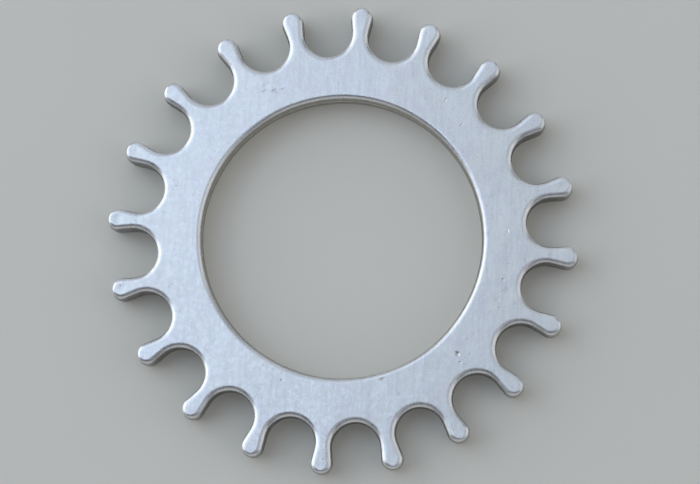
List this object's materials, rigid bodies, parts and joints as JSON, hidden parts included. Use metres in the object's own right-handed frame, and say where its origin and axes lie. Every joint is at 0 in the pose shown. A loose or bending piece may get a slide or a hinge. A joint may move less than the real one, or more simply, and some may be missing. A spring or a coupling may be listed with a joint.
{
  "type": "sprocket ring",
  "caption": "Flat silver-coloured ring in the shape of a sprocket, with round-tipped finger teeth, U-shaped gaps and a wide plain bore, used as a charm or connector.",
  "frame": {"origin": "on the bore axis, in the plane of the back face", "axes": "+Z along the bore axis from the back face to the front face, +X through the middle of a gap between two teeth"},
  "size_m": [0.0396, 0.0396, 0.0027],
  "materials": {
    "silver_plate": "satin silver plate over cast zinc alloy"
  },
  "bodies": {
    "root": {"sprocket_ring": "silver_plate"}
  },
  "joints": []
}
